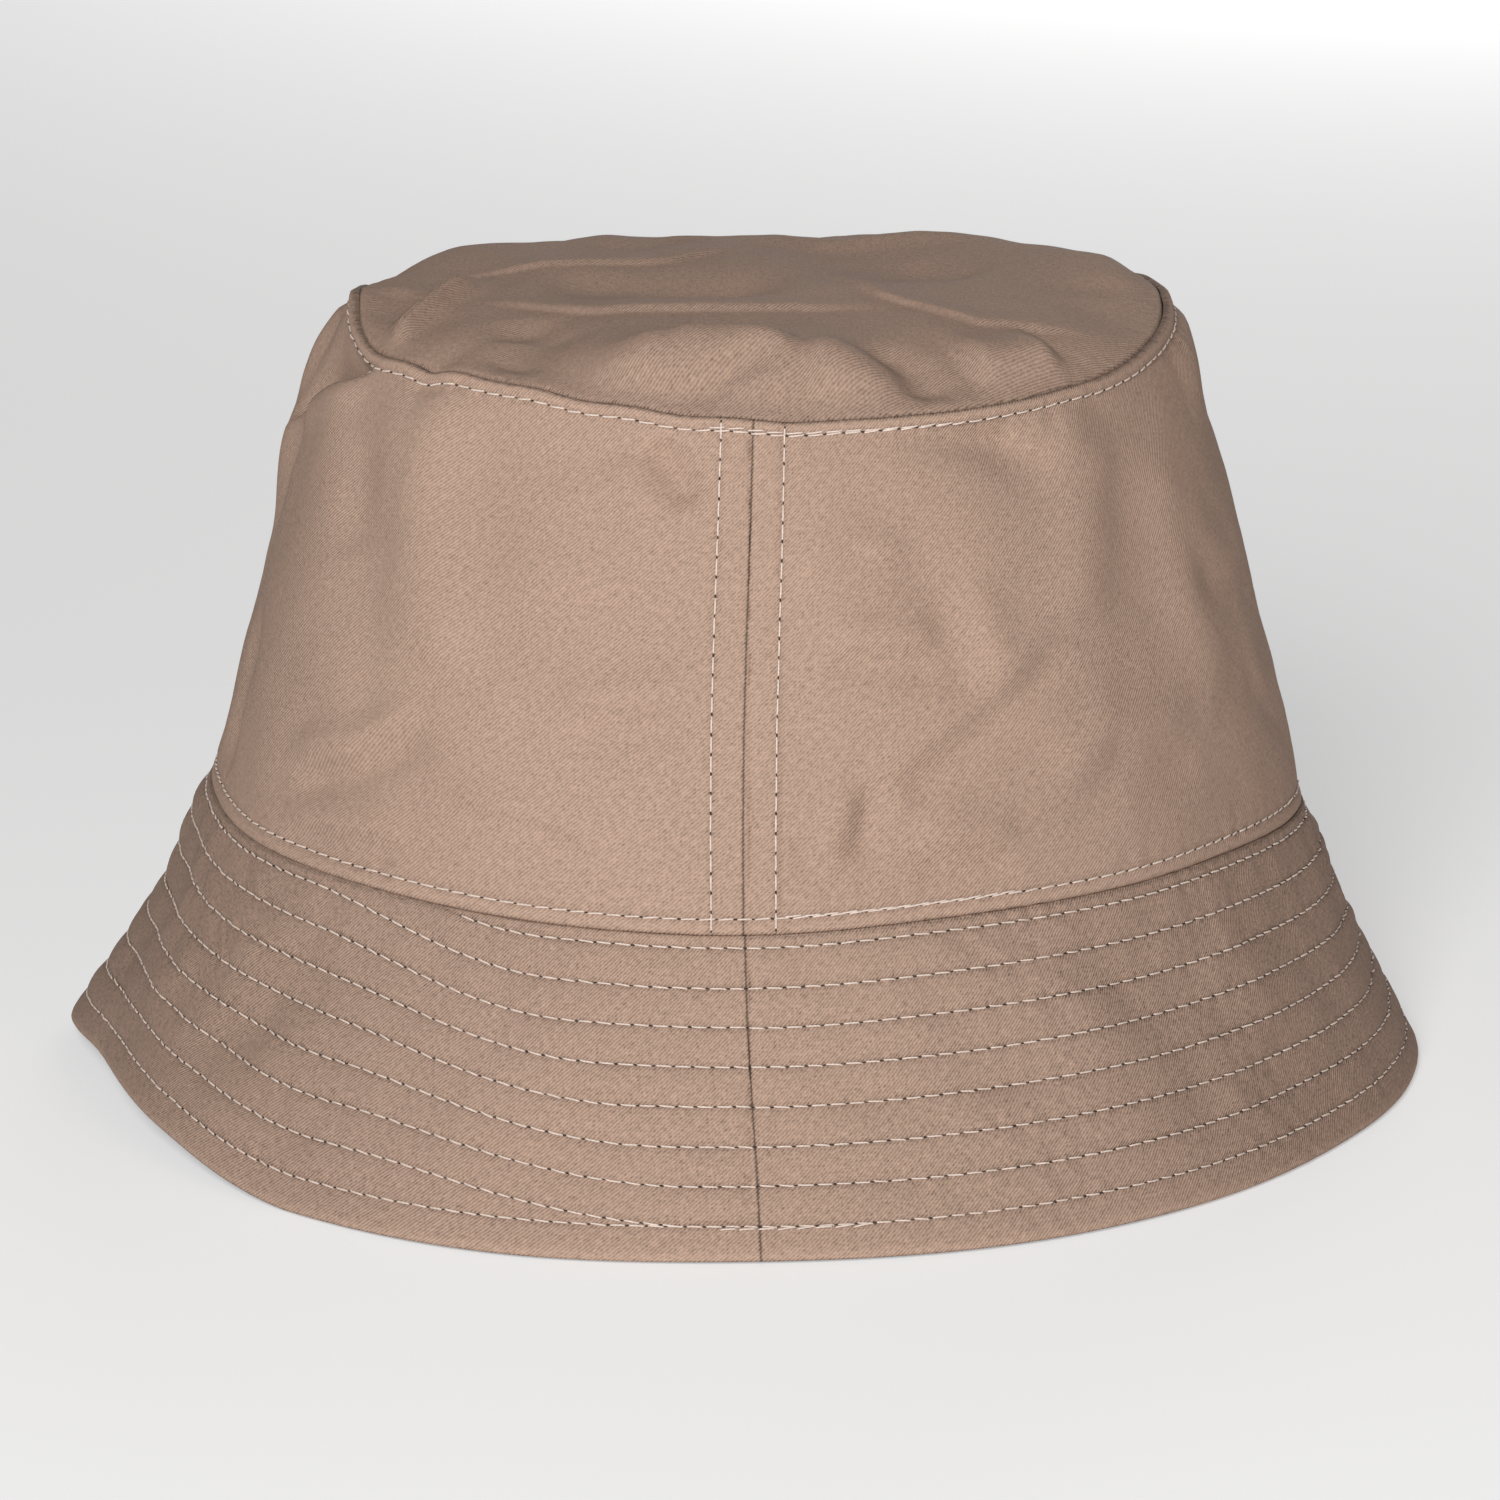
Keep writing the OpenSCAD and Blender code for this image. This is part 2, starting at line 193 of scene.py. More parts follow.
# Paths on the tip are (x, y), seen from above.
TIP_FOLDS = [
    # full and round along its far side
    ("ridge", 2.7, 13.0, [(66, 0), (55, 30), (38, 46), (20, 56)]),
    ("ridge", 2.4, 12.0, [(-72, -2), (-62, 18), (-50, 36), (-34, 50)]),
    # the near slope, which faces back, between the seam and two humps
    ("ridge", 4.9, 8.8, [(-29, -59), (-12, -58), (8, -58), (25, -60)]),
    ("ridge", 1.0, 4.0, [(-14, -55), (-4, -53), (6, -56)]),
    ("ridge", -1.6, 16.0, [(-46, -28), (-30, -32), (0, -34), (44, -30)]),
    ("ridge", 3.7, 8.2, [(34, -51), (43, -47), (52, -41)]),
    ("ridge", -2.1, 4.4, [(19, -46), (26, -54), (31, -64)]),
    ("ridge", -1.6, 2.6, [(-12, -71), (-4, -64), (6, -58)]),
    ("ridge", -1.1, 2.2, [(9, -46), (8, -68)]),
    # long thin ridges across the tip
    ("flap", 0.85, 4.5, [(-48, -17), (-25, -25), (0, -27), (24, -23)]),
    ("flap", 0.85, 4.5, [(14, 4), (22, -17), (38, -33), (60, -29)]),
    ("ridge", -2.4, 9.0, [(-38, -4), (-10, -7), (8, -6)]),
    ("flap", 0.8, 5.5, [(-54, 2), (-30, 10), (-14, 15), (2, 34)]),
    ("ridge", 1.6, 5.0, [(-4, 52), (14, 30), (44, 40)]),
    ("ridge", -1.6, 8.0, [(-26, 34), (-10, 44)]),
    ("ridge", -1.3, 8.0, [(24, 10), (40, 4)]),
    # beside the corner at the wearer's left
    ("ridge", 3.1, 2.3, [(-66, -54), (-57, -30), (-50, -12), (-44, 2)]),
    ("ridge", -1.4, 5.0, [(-66, -26), (-60, -8)]),
    ("ridge", -2.0, 6.0, [(-42, -58), (-34, -42), (-40, -30)]),
]


# ---------------------------------------------------------------- curves and fields
def turned(angle):
    """The same angle between -180 and 180."""
    return (np.asarray(angle, float) + 180.0) % 360.0 - 180.0


def smooth(t):
    """0 to 1 with level ends."""
    t = np.clip(t, 0.0, 1.0)
    return t * t * (3 - 2 * t)


def wave(knots, angle):
    """A smooth closed curve through evenly spaced knots, from -180 degrees."""
    knots = np.asarray(knots, float)
    n = len(knots)
    s = (np.asarray(angle, float) + 180.0) % 360.0 / 360.0 * n
    i = np.floor(s).astype(int) % n
    t = (s - np.floor(s))[..., None]
    a, b, c, d = (knots[(i + k) % n] for k in (-1, 0, 1, 2))
    return b + ((c - a) * t + (2 * a - 5 * b + 4 * c - d) * t**2
                + (3 * b - 3 * c + d - a) * t**3) / 2


def ring(radius, height, waves, angle):
    w = wave(waves, angle)
    r = radius + w[..., 0]
    t = np.radians(angle)
    return np.stack([r * np.sin(t), -r * np.cos(t), height + w[..., 1]], -1)


def tip_ring(angle):
    p = ring(TIP_R, BRIM_DROP + CROWN_H, TIP_WAVES, angle)
    # uneven, with a notch where a fold runs over it at the wearer's left
    p[..., 2] += 0.22 * pucker(angle, 21, 31) - 0.9 * groove(turned(angle) + 46.5, 2.4)
    return p


def seam_ring(angle):
    return ring(HEAD_R, BRIM_DROP, SEAM_WAVES, angle)


def edge_ring(angle):
    p = ring(BRIM_R, 0.0, EDGE_WAVES, angle)
    p[..., 2] = np.maximum(p[..., 2], 0.0)
    return p


def outward(angle):
    """The way through the cloth of the band and the brim, towards the outside."""
    t = np.radians(angle)
    return np.stack([np.sin(t) * math.cos(LEAN), -np.cos(t) * math.cos(LEAN),
                     np.full(np.shape(t), math.sin(LEAN))], -1)


def ripple(p, seed, size):
    """Even, smooth unevenness over space, about -1 to 1, with bumps about size across."""
    rng = np.random.default_rng(seed)
    waves = 18
    total = np.zeros(p.shape[:-1])
    for _ in range(waves):
        way = rng.normal(size=3)
        way *= 2 * math.pi / (size * rng.uniform(0.8, 1.7)) / np.linalg.norm(way)
        total += np.cos(p @ way + rng.uniform(0, 2 * math.pi))
    return total / math.sqrt(waves / 2) / 1.6


def path_distance(x, y, path_x, path_y):
    """Distance from a path, with a sign that is positive on its left, and how far along it
    the nearest point lies, from 0 to 1."""
    lengths = [math.hypot(float(np.mean(path_x[k + 1] - path_x[k])), path_y[k + 1] - path_y[k])
               for k in range(len(path_y) - 1)]
    best = np.full(x.shape, np.inf)
    sign, share = np.ones(x.shape), np.zeros(x.shape)
    done = 0.0
    for k, length in enumerate(lengths):
        ax, ay, dx, dy = path_x[k], path_y[k], path_x[k + 1] - path_x[k], path_y[k + 1] - path_y[k]
        t = np.clip(((x - ax) * dx + (y - ay) * dy) / (dx * dx + dy * dy), 0, 1)
        ex, ey = x - ax - t * dx, y - ay - t * dy
        d = np.hypot(ex, ey)
        near = d < best
        best = np.where(near, d, best)
        sign = np.where(near, np.sign(dx * ey - dy * ex + 1e-12), sign)
        share = np.where(near, (done + t * length) / sum(lengths), share)
        done += length
    return best, best * sign, share


def fold_height(fold, x, y, path_x, path_y):
    """How far one fold moves the cloth."""
    kind, height, width, _ = fold
    d, side, share = path_distance(x, y, path_x, path_y)
    ends = smooth(share / 0.3 + 0.15) * smooth((1 - share) / 0.3 + 0.15)
    if kind == "ridge":
        shape = np.exp(-(d / width) ** 2)
    elif kind == "step":
        shape = side / width * np.exp(0.5 - (side / width) ** 2 - (d / width) ** 2 * 0.3) * 1.2
    else:
        shape = np.where(side > 0, np.exp(-(d / width) ** 2), np.exp(-(d / FLAP_SHARP) ** 2))
    return height * ends * shape


def side_folds(folds, share, angle, end_radius, slant):
    """How far folds move the band or the brim outwards. share is up the band from the brim
    seam, or down the brim from it."""
    angle = turned(angle)
    r = HEAD_R + (end_radius - HEAD_R) * share
    x, y = np.radians(angle) * r, share * slant
    total = np.zeros(np.shape(x))
    for fold in folds:
        path = fold[3]
        total += fold_height(fold, x, y, [np.radians(a) * r for a, _ in path],
                             [u * slant for _, u in path])
    return total


def tip_folds(x, y):
    total = np.zeros(np.shape(x))
    for fold in TIP_FOLDS:
        path = fold[3]
        total += fold_height(fold, x, y, [np.full(np.shape(x), float(px)) for px, _ in path],
                             [float(py) for _, py in path])
    return total


def roll(distance, width, depth):
    """How deep the cloth has turned in, at a distance from the seam or edge it turns at."""
    t = np.clip(1 - distance / width, 0, 1)
    return depth * (1 - np.sqrt(np.clip(1 - t * t, 0, 1)))


def groove(distance, width):
    """1 on a line of stitches and falling to 0 beside it."""
    return np.exp(-(distance / width) ** 2)


# ---------------------------------------------------------------- rows round the brim
def row_from_edge(row, angle):
    """Distance of one turn of the brim's stitching from the edge. After each turn it steps
    in by one pitch, just left of the back seam, and inner turns step a little later."""
    travel = (-np.asarray(angle, float)) % 360.0
    if row == 0:
        return np.full(np.shape(travel), EDGE_ROW)
    late = 2.5 * (row - 1)
    stepped = smooth((travel - STEP_FROM - late) / (STEP_TO - STEP_FROM))
    return EDGE_ROW + ROW_PITCH * (row - 1 + stepped)


def brim_rows(angle):
    """Every row's distance from the edge, with the edge and the seam as first and last."""
    rows = [np.zeros(np.shape(angle))]
    for k in range(ROWS + 1):
        row = np.maximum(row_from_edge(k, angle), rows[-1] + ROW_GAP)
        rows.append(np.minimum(row, BRIM_SLANT - ROW_GAP * (ROWS + 1 - k)))
    return rows + [np.full(np.shape(angle), BRIM_SLANT)]


def nearest_row(low, angle):
    """Distance to the nearest row of stitching, at a distance low from the edge."""
    return np.min([np.abs(low - r) for r in brim_rows(angle)[1:-1]], axis=0)


def brim_puff(down, angle):
    """How far the cloth stands out between two rows of stitching."""
    t = (1 - down) * BRIM_SLANT
    rows = brim_rows(angle)
    puff = np.zeros(np.shape(t))
    for k in range(len(rows) - 1):
        low, high = rows[k], rows[k + 1]
        wide = np.maximum(high - low, 0.05)
        s = np.clip((t - low) / wide, 0, 1)
        rise = np.where((t >= low) & (t < high), (4 * s * (1 - s)) ** 0.6, 0)
        uneven = 1 + 0.45 * np.cos(np.radians(angle) * (13 + 3 * k) + 1.7 * k) \
            * np.cos(np.radians(angle) * (7 + k) + k * k)
        height = ROW_PUFF if k else EDGE_PUFF
        puff += height * rise * uneven * np.minimum(wide / ROW_PITCH, 1)
    return puff


def pucker(angle, per_turn, seed):
    """Small pulls across a row of stitches, as a share of their height."""
    rng = np.random.default_rng(seed)
    a = np.radians(angle)
    total = np.zeros(np.shape(a))
    for _ in range(6):
        total += np.cos(a * int(per_turn * rng.uniform(0.7, 1.4)) + rng.uniform(0, 6.28))
    return total / 3.0


def drag_lines(low, angle, p):
    """Short slanting wrinkles between the rows, in patches, where the layers crept."""
    run = np.radians(angle) * BRIM_RUN
    patch = smooth(ripple(p, 15, 34) * 1.1 - 0.1)
    wobble = 3.5 * ripple(p, 16, 16)
    return 0.16 * patch * np.sin((run * 0.50 + low * 0.85 + wobble) * 2 * math.pi / 5.0)


# ---------------------------------------------------------------- faces of the cloth
def band_base(up, angle):
    up = np.asarray(up, float)[..., None]
    belly = BAND_BELLY * np.sin(math.pi * up)
    return seam_ring(angle) * (1 - up) + tip_ring(angle) * up + outward(angle) * belly


def seam_side(angle, radius):
    """Distance along the cloth from the nearer of the back and front seams."""
    around = np.abs(turned(angle))
    return np.radians(np.minimum(around, 180 - around)) * radius


def seam_height(angle):
    """How sharply the brim seam is folded: it lies flatter at the wearer's left."""
    return 1 - 0.7 * groove(turned(angle) + 72, 36)


def band_shift(up, angle):
    """How far the band's face lies outside its base surface."""
    up, angle = np.asarray(up, float), np.asarray(angle, float)
    r = HEAD_R + (TIP_R - HEAD_R) * up
    low, high = up * BAND_SLANT, (1 - up) * BAND_SLANT
    side = seam_side(angle, r)
    p = band_base(up, angle)
    inside = smooth(low / 9) * smooth(high / 9)
    calm = 1 - 0.75 * groove(side, 7)
    shift = side_folds(BAND_FOLDS, up, angle, TIP_R, BAND_SLANT)
    shift *= (0.25 + 0.75 * smooth(low / 5)) * (0.1 + 0.9 * smooth((high - 1.2) / 4.5))
    shift += (0.55 * ripple(p, 3, 55) + 0.28 * ripple(p, 4, 24)) * inside * calm
    shift += 0.10 * ripple(p, 8, 12) * inside
    shift += 0.05 * ripple(p, 5, 7) * inside
    # turned-up and turned-down allowances lie under the topstitches
    shift += 0.22 * seam_height(angle) * smooth(low / 0.8) * smooth((TOPSTITCH + 0.9 - low) / 1.1)
    shift += 0.50 * smooth(high / 0.8) * smooth((TIP_STITCH + 0.9 - high) / 1.1)
    shift += 0.35 * smooth((TWIN + 1.2 - side) / 1.6) * (0.6 + 0.4 * smooth(side / 1.5))
    # stitches pull the cloth in, a little unevenly
    shift -= PULL * groove(low - TOPSTITCH, PULL_WIDTH) * (1 + 0.3 * pucker(angle, 110, 1))
    shift -= PULL * groove(high - TIP_STITCH, PULL_WIDTH) * (1 + 0.3 * pucker(angle, 85, 2))
    twin = groove(side - TWIN, 0.7) * smooth(low / 4) * smooth(high / 3)
    shift -= 0.28 * twin * (1 + 0.3 * np.cos(low * 1.05))
    tight = smooth(0.5 + ripple(p, 7, 40))
    shift += 0.12 * tight * pucker(angle, 90, 6) * (groove(low - 4, 2.6) + groove(high - 4, 2.6))
    # seams
    shift -= seam_height(angle) * roll(low, SEAM_ROLL, SEAM_DEPTH)
    shift -= roll(high, SEAM_ROLL, SEAM_DEPTH)
    shift -= roll(side, *BAND_SEAM)
    return shift


def brim_base(down, angle):
    down = np.asarray(down, float)[..., None]
    hollow = BRIM_HOLLOW * np.sin(math.pi * down)
    return seam_ring(angle) * (1 - down) + edge_ring(angle) * down - outward(angle) * hollow


def brim_bend(down, angle):
    """Soft unevenness that every layer of the brim shares."""
    p = brim_base(down, angle)
    down = np.asarray(down, float)
    free = smooth(down * 4) * smooth((1 - down) * 3)
    folds = side_folds(BRIM_FOLDS, down, angle, BRIM_R, BRIM_SLANT)
    return (folds + 0.6 * ripple(p, 11, 60) + 0.4 * ripple(p, 12, 22)) * free


def brim_shift(down, angle):
    """How far the brim's face lies outside its base surface."""
    down, angle = np.asarray(down, float), np.asarray(angle, float)
    low = (1 - down) * BRIM_SLANT
    high = down * BRIM_SLANT
    side = seam_side(angle, HEAD_R + (BRIM_R - HEAD_R) * down)
    p = brim_base(down, angle)
    shift = brim_bend(down, angle) + brim_puff(down, angle)
    shift -= 0.12 * seam_height(angle) * smooth(high / 3)
    shift += 0.07 * ripple(p, 13, 7) * smooth(low / 3) + drag_lines(low, angle, p)
    shift += 0.13 * pucker(angle, 120, 14) * groove(nearest_row(low, angle), 1.6)
    shift -= roll(side, *BRIM_SEAM) - 0.22 * groove(side - 2.2, 2.0)
    shift -= seam_height(angle) * roll(high, SEAM_ROLL, SEAM_DEPTH - 0.1)
    return shift


def wandered(angle, share, wander, radius):
    """Moves places near the back seam sideways, because it isn't quite straight."""
    off = np.interp(share, np.linspace(0, 1, len(wander)), wander)
    return angle + np.degrees(off / radius) * np.exp(-(turned(angle) / 30.0) ** 2)


def band_face(up, angle, depth=0.0):
    angle = wandered(angle, up, BAND_WANDER, BAND_MID)
    shift = band_shift(up, angle) - depth
    return band_base(up, angle) + outward(angle) * shift[..., None]


def level(down, depth):
    """Lifts a layer of the brim so that every layer ends level at the edge."""
    lift = np.zeros(np.shape(down) + (3,))
    lift[..., 2] = depth * math.sin(LEAN) * np.asarray(down, float)
    return lift


def brim_face(down, angle, depth=0.0):
    down = np.asarray(down, float)
    low = (1 - down) * BRIM_SLANT
    angle = wandered(angle, down, BRIM_WANDER, BRIM_MID)
    shift = brim_shift(down, angle) * smooth(low / SOFT_EDGE + 0.1)
    depth = depth + roll(low, EDGE_ROLL, EDGE_ROLL)
    return (brim_base(down, angle) + outward(angle) * (shift - depth)[..., None]
            + level(down, depth))


def tip_face(out, angle, depth, inset):
    """A point of the tip. out runs from 0 in the middle to 1 at the tip seam."""
    out = np.asarray(out, float)
    edge = tip_ring(angle)
    r = np.hypot(edge[..., 0], edge[..., 1])
    k = out * (r - inset - TIP_TUCK) / r
    x, y = edge[..., 0] * k, edge[..., 1] * k
    z = TOP + (edge[..., 2] - TOP) * out**TIP_POWER
    from_edge = (1 - out) * r
    p = np.stack([x, y, np.zeros(np.shape(x))], -1)
    free = smooth(from_edge / 7)
    z = z + tip_folds(x, y) * free
    z += (0.8 * ripple(p, 21, 45) + 0.35 * ripple(p, 22, 20) + 0.06 * ripple(p, 23, 7)) * free
    z += 0.06 * pucker(angle, 80, 24) * groove(from_edge - 2.5, 2.5)
    z -= roll(from_edge, *TIP_SEAM)
    return np.stack([x, y, z - depth], -1)


# ---------------------------------------------------------------- mesh building
FINE = 0.2              # spacing of the mesh beside a seam
SEAM_CLEAR = 0.001      # the halves stop this many degrees from the back and front seams
SHARP = math.radians(62)            # edges of the mesh over this angle are shaded as sharp


def add_object(name, data):
    made = bpy.data.objects.new(name, data)
    bpy.context.scene.collection.objects.link(made)
    return made


def graded(length, lines, fine, coarse, reach):
    """Places from 0 to length, close together near the given lines."""
    places = [0.0]
    while places[-1] < length:
        near = min(abs(places[-1] - line) for line in lines)
        places.append(places[-1] + fine + (coarse - fine) * float(smooth(near / reach)))
    return np.array(places) * length / places[-1]


def new_piece(name, points, faces, mat, uv=None):
    """A mesh object from points in millimetres."""
    mesh = bpy.data.meshes.new(name)
    points = np.asarray(points, float) * MM
    mesh.vertices.add(len(points))
    mesh.vertices.foreach_set("co", points.ravel())
    sizes = np.concatenate([np.full(len(f), f.shape[1]) for f in faces])
    loops = np.concatenate([f.ravel() for f in faces]).astype(np.int32)
    mesh.loops.add(len(loops))
    mesh.loops.foreach_set("vertex_index", loops)
    mesh.polygons.add(len(sizes))
    mesh.polygons.foreach_set("loop_start", np.concatenate([[0], np.cumsum(sizes)[:-1]]))
    mesh.polygons.foreach_set("use_smooth", np.ones(len(sizes), bool))
    if uv is not None:
        layer = mesh.uv_layers.new(name="cloth")
        layer.data.foreach_set("uv", (np.asarray(uv)[loops] * MM).ravel())
    mesh.update(calc_edges=True)
    mesh.validate()
    mesh.materials.append(mat)
    return add_object(name, mesh)


def grid_faces(rows, cols, start, closed, flipped):
    """The four-sided faces of a grid of points that are numbered row by row from start."""
    i, j = np.meshgrid(np.arange(rows - 1), np.arange(cols if closed else cols - 1), indexing="ij")
    k = (j + 1) % cols
    quads = np.stack([i * cols + j, i * cols + k, (i + 1) * cols + k, (i + 1) * cols + j], -1)
    quads = quads.reshape(-1, 4) + start
    return quads[:, ::-1] if flipped else quads


def sheet_mesh(name, face, back, uv, mat, painted_shading, middle=None):
    """A thin solid sheet between the grid of its face and the grid of its back. With two
    middle points it runs all the way round, and its last ring closes on them."""
    closed = middle is not None
    rows, cols = face.shape[:2]
    n = rows * cols
    j = np.arange(cols if closed else cols - 1)
    k = (j + 1) % cols
    faces = [grid_faces(rows, cols, 0, closed, False), grid_faces(rows, cols, n, closed, True),
             np.stack([j, n + j, n + k, k], -1)]
    points, flat = [face.reshape(-1, 3), back.reshape(-1, 3)], [uv.reshape(-1, 2)] * 2
    last = n - cols
    if closed:
        points.append(np.asarray(middle))
        flat.append(np.asarray(middle)[:, :2])
        top, under = np.full(cols, 2 * n), np.full(cols, 2 * n + 1)
        faces += [np.stack([last + j, last + k, top], -1),
                  np.stack([n + last + k, n + last + j, under], -1)]
    else:
        i = np.arange(rows - 1) * cols
        faces += [np.stack([last + k, n + last + k, n + last + j, last + j], -1),
                  np.stack([i, i + cols, n + i + cols, n + i], -1),
                  np.stack([i + cols - 1, n + i + cols - 1, n + i + 2 * cols - 1,
                            i + 2 * cols - 1], -1)]
    piece = new_piece(name, np.concatenate(points), faces, mat, np.concatenate(flat))
    piece.data.set_sharp_from_angle(angle=SHARP)
    # the mesh keeps its painted shade and highlights for its material
    both = np.concatenate([painted_shading.ravel(), painted_shading.ravel(), np.zeros(2 if closed else 0)])
    piece.data.attributes.new("painted_shading", "FLOAT", "POINT").data.foreach_set("value", both)
    return piece


def half_angles(right, step, radius):
    """Angles round one half, from the back seam or from the front seam."""
    length = math.pi * radius
    seams = [0, TWIN, length - TWIN, length]
    places = graded(length, seams, fine=FINE, coarse=step, reach=2.5)
    angles = SEAM_CLEAR + places / length * (180 - 2 * SEAM_CLEAR)
    return angles if right else angles - 180.0


# ---------------------------------------------------------------- materials
PAINTED_SHADING_STRENGTH = 0.62             # how strongly the painted shade and highlights stored on the mesh change the tone of the cloth


def material(name, color, roughness, sheen=0.0):
    mat = bpy.data.materials.new(name)
    mat.use_nodes = True
    tree = mat.node_tree
    shader = tree.nodes["Principled BSDF"]
    shader.inputs["Base Color"].default_value = (*color, 1)
    shader.inputs["Roughness"].default_value = roughness
    shader.inputs["Specular IOR Level"].default_value = 0.08
    shader.inputs["Sheen Weight"].default_value = sheen
    shader.inputs["Sheen Roughness"].default_value = 0.5
    shader.inputs["Sheen Tint"].default_value = (*color, 1)
    return mat, tree, shader


def math_node(tree, operation, a, b=None):
    node = tree.nodes.new("ShaderNodeMath")
    node.operation = operation
    for socket, value in zip(node.inputs, (a, b)):
        if value is None:
            continue
        if isinstance(value, (int, float)):
            socket.default_value = value
        else:
            tree.links.new(value, socket)
    return node.outputs[0]


def add(tree, a, b):
    return math_node(tree, "ADD", a, b)


def times(tree, a, b):
    return math_node(tree, "MULTIPLY", a, b)


def sine(tree, a):
    return math_node(tree, "SINE", a)


def noise(tree, vector, scale, detail, stretch=(1, 1, 1)):
    mapping = tree.nodes.new("ShaderNodeMapping")
    mapping.inputs["Scale"].default_value = stretch
    tree.links.new(vector, mapping.inputs["Vector"])
    node = tree.nodes.new("ShaderNodeTexNoise")
    node.inputs["Scale"].default_value = scale
    node.inputs["Detail"].default_value = detail
    tree.links.new(mapping.outputs["Vector"], node.inputs["Vector"])
    return node.outputs["Fac"]


def color_ramp(tree, value, stops):
    node = tree.nodes.new("ShaderNodeValToRGB")
    while len(node.color_ramp.elements) < len(stops):
        node.color_ramp.elements.new(0.5)
    for element, (at, color) in zip(node.color_ramp.elements, stops):
        element.position = at
        element.color = (*color, 1)
    tree.links.new(value, node.inputs["Fac"])
    return node.outputs["Color"]


def bump_by(tree, shader, height, strength, distance):
    """Bumps the shader's surface. A height of 1 stands for the given distance."""
    bump = tree.nodes.new("ShaderNodeBump")
    bump.inputs["Strength"].default_value = strength
    bump.inputs["Distance"].default_value = distance * MM
    tree.links.new(height, bump.inputs["Height"])
    tree.links.new(bump.outputs["Normal"], shader.inputs["Normal"])


def shade(color, k):
    return tuple(c * k for c in color)


def weave_material(name, color, diagonal, pitch, roughness, sheen, depth):
    """Woven cotton: fine ribs, which run up to the right on twill, uneven yarn, and slow
    changes of shade. The UVs are in metres, so a noise has about its scale of bumps per metre."""
    mat, tree, shader = material(name, color, roughness, sheen)
    uv = tree.nodes.new("ShaderNodeUVMap")
    uv.uv_map = "cloth"
    split = tree.nodes.new("ShaderNodeSeparateXYZ")
    tree.links.new(uv.outputs["UV"], split.inputs[0])
    x, y = split.outputs["X"], split.outputs["Y"]
    wobble = noise(tree, uv.outputs["UV"], 700, 2)
    turn = 2 * math.pi / (pitch * MM)
    if diagonal:
        ribs = times(tree, math_node(tree, "SUBTRACT", x, y), turn * 0.7071)
        ribs = sine(tree, add(tree, ribs, times(tree, wobble, 4.0)))
    else:
        ribs = times(tree, sine(tree, times(tree, x, turn)), sine(tree, times(tree, y, turn)))
    yarn_up = noise(tree, uv.outputs["UV"], 1500, 2, (1.6, 0.5, 1))
    yarn_across = noise(tree, uv.outputs["UV"], 1500, 2, (0.5, 1.6, 1))
    yarn = add(tree, yarn_up, yarn_across)
    slow = noise(tree, uv.outputs["UV"], 24, 4)
    tone = add(tree, times(tree, yarn, 0.78), times(tree, slow, 0.22))
    tone = add(tree, math_node(tree, "SUBTRACT", tone, 0.28), times(tree, ribs, 0.19))
    # now and then a thicker, darker bit of yarn
    slub = noise(tree, uv.outputs["UV"], 800, 1, (1.0, 0.5, 1))
    slub = math_node(tree, "MAXIMUM", math_node(tree, "SUBTRACT", slub, 0.72), 0.0)
    tone = math_node(tree, "SUBTRACT", tone, times(tree, slub, 1.8))
    # painted shade inside the seams and beside the stitches, and painted highlights along the
    # raised edges, read from the mesh
    painted_shading = tree.nodes.new("ShaderNodeAttribute")
    painted_shading.attribute_name = "painted_shading"
    tone = add(tree, tone, times(tree, painted_shading.outputs["Fac"], PAINTED_SHADING_STRENGTH))
    stops = [(0.0, shade(color, 0.30)), (0.30, shade(color, 0.72)), (0.61, color),
             (0.92, shade(color, 1.24))]
    tree.links.new(color_ramp(tree, tone, stops), shader.inputs["Base Color"])
    bump_by(tree, shader, add(tree, times(tree, ribs, 0.5), times(tree, yarn, 0.8)), 1.0, depth)
    rough = add(tree, times(tree, yarn, 0.12), roughness - 0.12)
    tree.links.new(rough, shader.inputs["Roughness"])
    return mat


def thread_material(name, color):
    """Spun thread: a fine fuzz and a soft sheen."""
    mat, tree, shader = material(name, color, 0.55, 0.35)
    where = tree.nodes.new("ShaderNodeTexCoord").outputs["Object"]
    fuzz = noise(tree, where, 2600, 2)
    tree.links.new(color_ramp(tree, fuzz, [(0.3, shade(color, 0.82)), (0.7, shade(color, 1.1))]),
                   shader.inputs["Base Color"])
    bump_by(tree, shader, fuzz, 0.8, 0.06)
    return mat


TWILL = weave_material("khaki_twill", (0.386, 0.266, 0.203), True, 0.48, 0.75, 0.02, 0.08)
LINING = weave_material("slate_lining", (0.040, 0.050, 0.075), False, 0.50, 0.75, 0.20, 0.04)
CANVAS = weave_material("canvas_interlining", (0.72, 0.69, 0.63), False, 0.7, 0.85, 0.1, 0.05)
THREAD = thread_material("pale_thread", (0.67, 0.56, 0.49))
BOBBIN = thread_material("dark_thread", (0.035, 0.038, 0.050))
# the knots' dark brown is partly the bobbin thread and partly painted shade of the needle holes
KNOT = thread_material("knots_and_hole_shade", (0.050, 0.035, 0.030))

# ---------------------------------------------------------------- the cloth pieces
CELL = 0.9   # spacing of the mesh of the outer cloth
COARSE = 2.2                            # of the interlinings, which don't show
LINING_CELL, UNDER_CELL = 1.3, 1.1      # of the lining, and of the under brim


def join_piece(piece, node):
    """Ties a piece to the body, and hides the CAD node it replaces."""
    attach(piece, ROOT)
    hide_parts(node)


